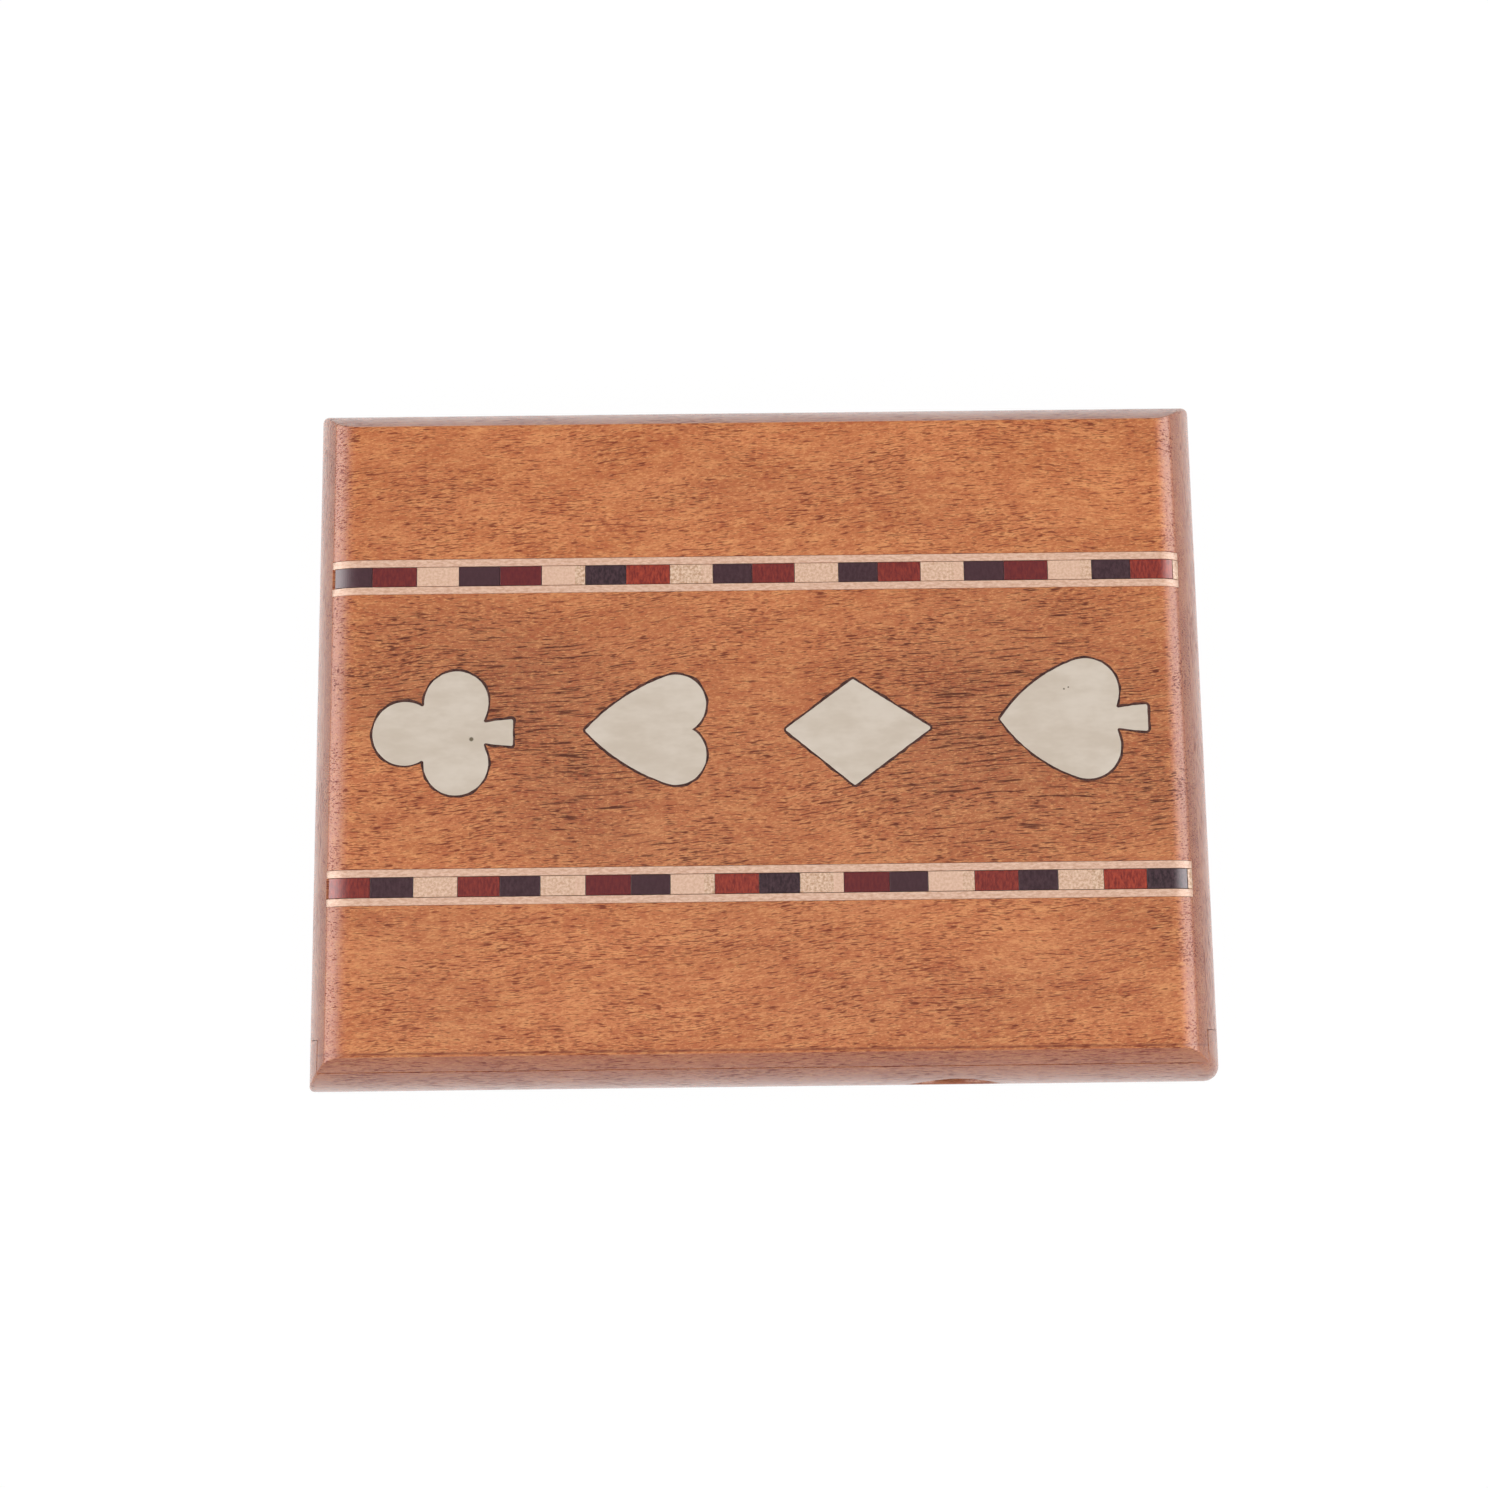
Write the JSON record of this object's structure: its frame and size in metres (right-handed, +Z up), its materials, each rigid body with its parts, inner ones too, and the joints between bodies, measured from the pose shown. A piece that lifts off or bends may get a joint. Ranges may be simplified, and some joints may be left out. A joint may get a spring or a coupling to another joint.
{
  "type": "playing card box with drawer",
  "caption": "Low wooden box with rounded shoulders, inlaid banding and card suits on top, and a front drawer with a finger hole, divided to hold packs of playing cards side by side.",
  "frame": {"origin": "middle of the underside, on the surface the box stands on", "axes": "+X along the long side, to the right seen from the front; -Y is the front, where the drawer comes out; +Z up"},
  "size_m": [0.165, 0.1264, 0.038],
  "materials": {
    "case_wood": "satin lacquered mahogany-like hardwood with short dark pores along the grain",
    "drawer_wood": "plain sanded hardwood",
    "lining_cloth": "short-pile velvet",
    "suit_inlay": "polished bone-coloured resin with fine scratches",
    "pale_wood": "satin lacquered pale wood",
    "dark_wood": "satin lacquered near-black wood",
    "red_wood": "satin lacquered red-dyed wood"
  },
  "bodies": {
    "case": {"top_board": "case_wood", "bottom_board": "case_wood", "left_side": "case_wood", "right_side": "case_wood", "back_wall": "case_wood", "club_inlay": "suit_inlay", "heart_inlay": "suit_inlay", "diamond_inlay": "suit_inlay", "spade_inlay": "suit_inlay", "rear_banding_outer_line": "pale_wood", "rear_banding_inner_line": "pale_wood", "rear_banding_dark_blocks": "dark_wood", "rear_banding_red_blocks": "red_wood", "rear_banding_light_blocks": "pale_wood", "front_banding_outer_line": "pale_wood", "front_banding_inner_line": "pale_wood", "front_banding_dark_blocks": "dark_wood", "front_banding_red_blocks": "red_wood", "front_banding_light_blocks": "pale_wood"},
    "drawer": {"drawer_front": "case_wood", "drawer_left_side": "drawer_wood", "drawer_right_side": "drawer_wood", "drawer_back": "drawer_wood", "drawer_bottom": "drawer_wood", "drawer_divider": "drawer_wood", "drawer_lining_left": "lining_cloth", "drawer_lining_right": "lining_cloth"}
  },
  "joints": [
    {"name": "drawer_slide", "type": "slide", "parent": "case", "child": "drawer", "axis": [0, -1, 0], "range_m": [0, 0.096]}
  ]
}
